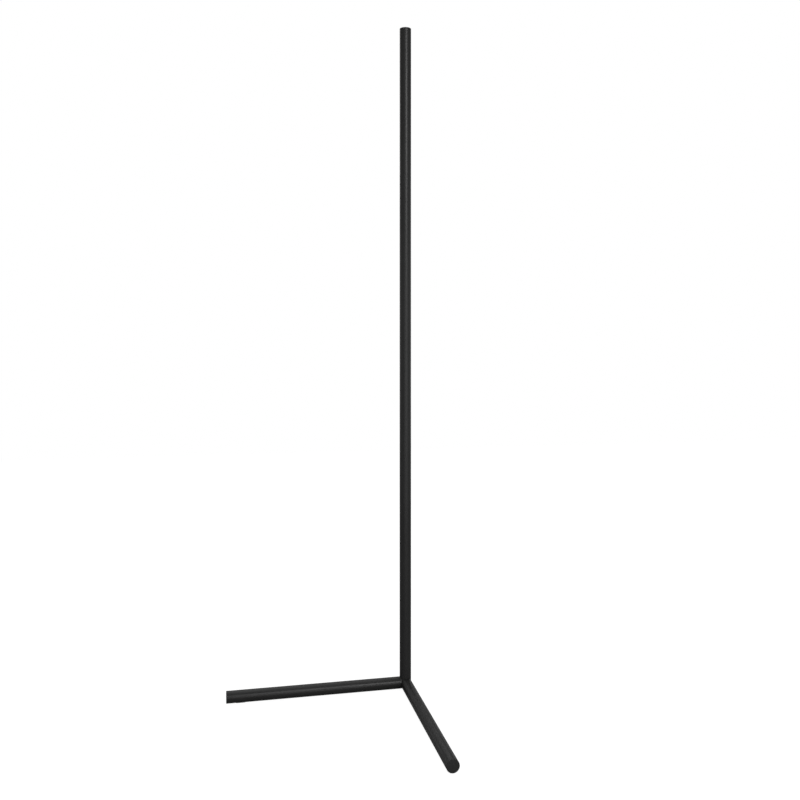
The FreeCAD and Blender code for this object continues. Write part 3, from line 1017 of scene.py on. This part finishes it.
@dataclass
class CornerHub:
    """The cast corner: three equal arms in a three-way mitre, their spigots, and a foot."""

    tube: Tube
    pole: LightPole
    inlet: PowerInlet
    legs: Sequence[FloorLeg]
    arm: float = 32.0
    mitre_edge: float = 0.3
    mitre_least_angle: float = 10.0
    pole_spigot: float = 45.0
    leg_spigot: float = 40.0
    leg_core: float = 13.0
    leg_core_depth: float = 34.0
    lead_in: float = 1.0
    wire_bore: float = 7.0
    wire_bore_wall: float = 2.0
    wire_bore_below: float = 6.0
    foot_diameter: float = 14.0

    def corner(self) -> Workpiece:
        """Three round arms, each cut by two planes, that meet in one mitre at the origin.

        Returns:
            The closed corner, centred on the origin.
        """
        work = Workpiece()
        work.bar(self.tube.radius, -self.tube.diameter, self.arm)
        for leg_arm in LEG_ARMS:
            geometry = [*work.bm.verts, *work.bm.edges, *work.bm.faces]
            bmesh.ops.bisect_plane(work.bm, geom=geometry, dist=WELD, plane_co=(0, 0, 0),
                                   plane_no=(POLE_ARM - leg_arm).normalized(), clear_inner=True)
        between = sum(LEG_ARMS, POLE_ARM)
        first = [*work.bm.verts, *work.bm.edges, *work.bm.faces]
        for third in (1, 2):
            copied = bmesh.ops.duplicate(work.bm, geom=first)["geom"]
            verts = [item for item in copied if isinstance(item, bmesh.types.BMVert)]
            turned = Matrix.Rotation(FULL_TURN * third / 3, 3, between)
            bmesh.ops.rotate(work.bm, cent=(0, 0, 0), matrix=turned, verts=verts)
        bmesh.ops.remove_doubles(work.bm, verts=work.bm.verts, dist=NEAR)
        return work

    def end_face(self, work: Workpiece, facing: Vector) -> bmesh.types.BMFace:
        """The flat end of the arm that points that way."""
        return max(work.bm.faces,
                   key=lambda face: (face.calc_center_median() @ facing, len(face.verts)))

    def leg_spigots(self, work: Workpiece) -> None:
        """Raise a cored spigot on each leg's arm.

        Args:
            work: The corner, centred on the origin.
        """
        radius = self.tube.radius
        spigot = radius - self.legs[0].wall - self.tube.fit
        for facing in LEG_ARMS:
            face = self.end_face(work, facing)
            bmesh.ops.inset_region(work.bm, faces=[face], thickness=radius - spigot,
                                   use_even_offset=True)
            face = work.pull([face], facing * self.leg_spigot)[0]
            work.round_over(face.edges, self.lead_in, 1)
            face = self.end_face(work, facing)
            bmesh.ops.inset_region(work.bm, faces=[face], use_even_offset=True,
                                   thickness=spigot - self.lead_in - self.leg_core / 2)
            work.pull([face], facing * -self.leg_core_depth)

    def pole_spigot_bar(self, work: Workpiece) -> None:
        """Raise the D-shaped spigot for the pole, with the wire bore down into the hub.

        Args:
            work: The corner, centred on the origin.
        """
        top = self.arm + self.pole_spigot
        face = self.end_face(work, POLE_ARM)
        bmesh.ops.delete(work.bm, geom=[face], context="FACES_ONLY")
        drawing = Workpiece()
        self.pole.draw_spigot(drawing, self.arm)
        drawing.rotate(self.tube.light_angle)
        sketch = bpy.data.meshes.new("sketch")
        drawing.bm.to_mesh(sketch)
        drawing.bm.free()
        work.bm.from_mesh(sketch)
        bpy.data.meshes.remove(sketch)
        work.plate()
        outline = [edge for edge in work.bm.edges if edge.is_boundary]
        work.skirt(outline, (0, 0, self.pole_spigot))
        across = Matrix.Rotation(math.radians(self.tube.light_angle), 2)
        centre = across @ Vector((self.wire_bore_centre, 0))
        work.circle(self.wire_bore / 2, top, (centre.x, centre.y))
        work.plate()
        bore = [edge for edge in work.bm.edges if edge.is_boundary]
        bottom = self.inlet.rise - self.wire_bore_below
        work.lid(work.skirt(bore, (0, 0, bottom - top)))

    @property
    def wire_bore_centre(self) -> float:
        """Where the wire bore stands, along the way that the light faces."""
        return self.wire_bore_wall + self.wire_bore / 2 - self.pole.inner_radius + self.tube.fit

    def ease_mitres(self, work: Workpiece) -> None:
        """Round the three mitre lines a little, as a casting has them.

        Args:
            work: The corner, centred on the origin.
        """
        inside = work.edges_of(
            lambda place: all(place @ facing < self.arm - NEAR for facing in ARMS))
        least = math.radians(self.mitre_least_angle)
        seams = [edge for edge in inside if edge.calc_face_angle(0.0) > least]
        work.round_over(seams, self.mitre_edge)

    def build(self) -> None:
        """Make the hub and its foot."""
        work = self.corner()
        self.ease_mitres(work)
        plain = work.copy().shift(0, 0, self.tube.axis_height)
        self.leg_spigots(work)
        self.pole_spigot_bar(work)
        work.round_over(work.edges_where(self.on_arm_end), self.tube.edge_break)
        piece = work.shift(0, 0, self.tube.axis_height).to_object("corner_hub_casting")
        # The cut starts just past the bore's middle, so that it doesn't run along an edge there.
        machine(piece, self.inlet.room(self.wire_bore_centre + self.tube.close_fit))
        for leg in self.legs:
            machine(piece, leg.screw_hole())
        hole = Workpiece()
        hole.bar(self.tube.stem / 2 + self.tube.close_fit, -OVERCUT,
                 self.tube.foot_drop + self.tube.stem_length + self.tube.fit)
        machine(piece, hole)
        hand_over(piece, POWDER_COAT, "corner_hub")
        self.foot(plain)

    def on_arm_end(self, edge: bmesh.types.BMEdge) -> bool:
        """Tell whether an edge is on the outer rim of an arm's end.

        Args:
            edge: The edge, of a corner that is centred on the origin.

        Returns:
            Whether it is.
        """
        return any(all(abs(vert.co @ facing - self.arm) < NEAR and
                       abs((vert.co - facing * self.arm).length - self.tube.radius) < NEAR
                       for vert in edge.verts)
                   for facing in ARMS)

    def foot(self, corner: Workpiece) -> None:
        """Mould the hub's round foot, which fits the underside of the corner, and its stem.

        Args:
            corner: The corner in its place, without its spigots and holes.
        """
        work = Workpiece()
        radius, top = self.foot_diameter / 2, self.tube.foot_drop + self.tube.stem_length
        work.bar(radius, 0, top)
        work.round_over(work.rim(radius, 0), self.tube.foot_edge, 3)
        piece = work.to_object("hub_foot_pad")
        machine(piece, corner)
        stem = Workpiece()
        stem.bar(self.tube.stem / 2, self.tube.foot_edge, top)
        machine(piece, stem, Operation.JOIN)
        hand_over(piece, RUBBER, "hub_foot")


@dataclass
class LightStrip:
    """What lies in the channel behind the diffuser, and the lead that feeds it."""

    def build(self) -> None:
        """Dress the strip's CAD solids."""
        dress(FOAM_TAPE, "strip_tape")
        dress(SOLDER_MASK, "light_strip")
        dress(PHOSPHOR, "light_chips")
        dress(GLAZE, "strip_resistors")
        dress(VINYL, "ribbon_lead")


@dataclass
class Fasteners:
    """The black screws in the channel's floor and under the legs."""

    def build(self) -> None:
        """Dress the screws' CAD solids."""
        dress(BLACK_STEEL, "pole_screws", "leg_screws")


# The studio


@dataclass(frozen=True)
class Lamp:
    """One soft area lamp, placed round the object and aimed at it, in metres and degrees."""

    name: str
    azimuth: float
    distance: float
    height: float
    size: tuple[float, float]
    watts: float
    aim: tuple[float, float, float]

    def build(self) -> None:
        """Hang the lamp."""
        turn = math.radians(self.azimuth)
        data = bpy.data.lights.new(self.name, "AREA")
        data.shape = "RECTANGLE"
        data.size, data.size_y = self.size
        data.energy = self.watts
        lamp = bpy.data.objects.new(self.name, data)
        lamp.location = (self.distance * math.sin(turn), -self.distance * math.cos(turn),
                         self.height)
        aim = Vector(self.aim) - lamp.location
        lamp.rotation_euler = aim.to_track_quat("-Z", "Y").to_euler()
        bpy.context.scene.collection.objects.link(lamp)


# A colour Mix node's sockets: their names are shared with those for other kinds of value.
MIX_SHARE, MIX_FIRST, MIX_SECOND, MIX_RESULT = 0, 6, 7, 2
# A Mix Shader node's inputs, the last two of which share a name.
SHADER_SHARE, SHADER_FIRST, SHADER_SECOND = 0, 1, 2
WHITE = (1.0, 1.0, 1.0, 1.0)


@dataclass
class Studio:
    """A white floor, a white surround, soft lamps, and the camera that took the photograph."""

    floor_size: float = 8.0
    floor_paint: str = "#b4b4b4"
    # Painted shade: the floor's paint as reflections see it, darker than to the eye, so that the
    # legs' undersides and edges reflect dark.
    floor_shade_in_reflections: str = "#787878"
    floor_glow: float = 1.2
    floor_shadow: float = 0.2
    surround_light: float = 0.6
    wall_light: float = 0.8
    wall_top: float = 0.1
    ceiling_start: float = 0.3
    lens: float = 39.0
    sensor: float = 36.0
    camera_reach: tuple[float, float] = (0.05, 100.0)
    camera_place: tuple[float, float, float] = (-0.4142, -1.8535, 0.7624)
    camera_turn: float = -0.2137
    camera_shift: float = -0.075
    lamps: tuple[Lamp, ...] = (
        Lamp("key", azimuth=10.0, distance=3.0, height=2.05, size=(0.5, 0.6), watts=50.0,
             aim=(0.0, 0.0, 1.2)),
        Lamp("front", azimuth=8.0, distance=3.2, height=0.5, size=(4.0, 1.0), watts=26.0,
             aim=(0.0, 0.0, 0.3)),
        Lamp("overhead", azimuth=180.0, distance=0.3, height=3.0, size=(3.0, 2.8), watts=38.0,
             aim=(0.0, 0.0, 0.0)),
        Lamp("rear", azimuth=190.0, distance=1.9, height=2.1, size=(2.4, 1.7), watts=18.0,
             aim=(0.0, -0.2, 0.0)),
    )

    def floor(self) -> None:
        """Lay the floor: white to the eye, with the object's own soft shadow on it.

        In a reflection it is only its paint, painted a shade darker than to the eye: painted shade
        that darkens the legs' undersides and edges.
        """
        material = bpy.data.materials.new("white studio floor")
        material.use_nodes = True
        tree = material.node_tree
        tree.nodes.clear()
        path = add_node(tree, "ShaderNodeLightPath").outputs
        direct = add_node(tree, "ShaderNodeMath",
                          {0: path["Is Camera Ray"], 1: path["Is Transmission Ray"]},
                          operation="MAXIMUM").outputs["Value"]
        share = add_node(tree, "ShaderNodeMath", {0: direct}, {1: 1 - self.floor_shadow},
                         operation="MULTIPLY").outputs["Value"]
        # Glossy rays see the darker paint: painted shade on the legs' undersides and edges.
        colour = add_node(tree, "ShaderNodeMix", {MIX_SHARE: path["Is Glossy Ray"]},
                          {MIX_FIRST: linear(self.floor_paint),
                           MIX_SECOND: linear(self.floor_shade_in_reflections)},
                          data_type="RGBA").outputs[MIX_RESULT]
        paint = add_node(tree, "ShaderNodeBsdfDiffuse", {"Color": colour}).outputs["BSDF"]
        glow = add_node(tree, "ShaderNodeEmission",
                        sockets={"Strength": self.floor_glow}).outputs["Emission"]
        mixed = add_node(tree, "ShaderNodeMixShader",
                         {SHADER_SHARE: share, SHADER_FIRST: paint, SHADER_SECOND: glow})
        add_node(tree, "ShaderNodeOutputMaterial", {"Surface": mixed.outputs["Shader"]})
        mesh = bpy.data.meshes.new("floor")
        work = bmesh.new()
        bmesh.ops.create_grid(work, x_segments=1, y_segments=1, size=self.floor_size / 2)
        work.to_mesh(mesh)
        work.free()
        mesh.materials.append(material)
        floor = bpy.data.objects.new("floor", mesh)
        bpy.context.scene.collection.objects.link(floor)

    def surround(self) -> None:
        """Light the scene from all round, and show white behind it.

        Reflections see a pale band along the horizon, and over it only the lamps.
        """
        world = bpy.data.worlds.new("white surround")
        world.use_nodes = True
        tree = world.node_tree
        tree.nodes.clear()
        way = add_node(tree, "ShaderNodeTexCoord").outputs["Generated"]
        rise = add_node(tree, "ShaderNodeSeparateXYZ", {0: way}).outputs["Z"]
        wall = add_node(tree, "ShaderNodeMapRange", {"Value": rise},
                        {"From Min": self.wall_top, "From Max": self.ceiling_start,
                         "To Min": self.wall_light, "To Max": 0.0})
        light = add_node(tree, "ShaderNodeBackground", sockets={
            "Color": WHITE, "Strength": self.surround_light}).outputs["Background"]
        room = add_node(tree, "ShaderNodeBackground", {"Strength": wall.outputs["Result"]},
                        {"Color": WHITE}).outputs["Background"]
        white = add_node(tree, "ShaderNodeBackground", sockets={
            "Color": WHITE, "Strength": 1.0}).outputs["Background"]
        path = add_node(tree, "ShaderNodeLightPath").outputs
        indirect = add_node(tree, "ShaderNodeMixShader",
                            {SHADER_SHARE: path["Is Glossy Ray"], SHADER_FIRST: light,
                             SHADER_SECOND: room}).outputs["Shader"]
        direct = add_node(tree, "ShaderNodeMath",
                          {0: path["Is Camera Ray"], 1: path["Is Transmission Ray"]},
                          operation="MAXIMUM").outputs["Value"]
        mixed = add_node(tree, "ShaderNodeMixShader",
                         {SHADER_SHARE: direct, SHADER_FIRST: indirect, SHADER_SECOND: white})
        add_node(tree, "ShaderNodeOutputWorld", {"Surface": mixed.outputs["Shader"]})
        bpy.context.scene.world = world

    def camera(self) -> None:
        """Set up the level camera that looks along the photograph's line of sight."""
        data = bpy.data.cameras.new("camera")
        data.sensor_fit, data.sensor_width = "HORIZONTAL", self.sensor
        data.lens, data.shift_y = self.lens, self.camera_shift
        data.clip_start, data.clip_end = self.camera_reach
        camera = bpy.data.objects.new("camera", data)
        camera.location = self.camera_place
        camera.rotation_euler = (math.pi / 2, 0, self.camera_turn)
        bpy.context.scene.collection.objects.link(camera)
        bpy.context.scene.camera = camera

    def build(self) -> None:
        """Set up the floor, the surround, the lamps and the camera."""
        self.floor()
        self.surround()
        for lamp in self.lamps:
            lamp.build()
        self.camera()
        bpy.context.scene.view_settings.view_transform = "Standard"


def main() -> None:
    """Build the lamp, its studio and its camera."""
    logging.basicConfig(level=logging.INFO, format="%(name)s %(message)s")
    tube = Tube()
    legs = [FloorLeg(tube, side) for side in Side]
    pole = LightPole(tube)
    inlet = PowerInlet(tube)
    pole.build()
    CornerHub(tube, pole, inlet, legs).build()
    for leg in legs:
        leg.build()
    inlet.build()
    LightStrip().build()
    Fasteners().build()
    Studio().build()


if __name__ == "__main__":
    main()
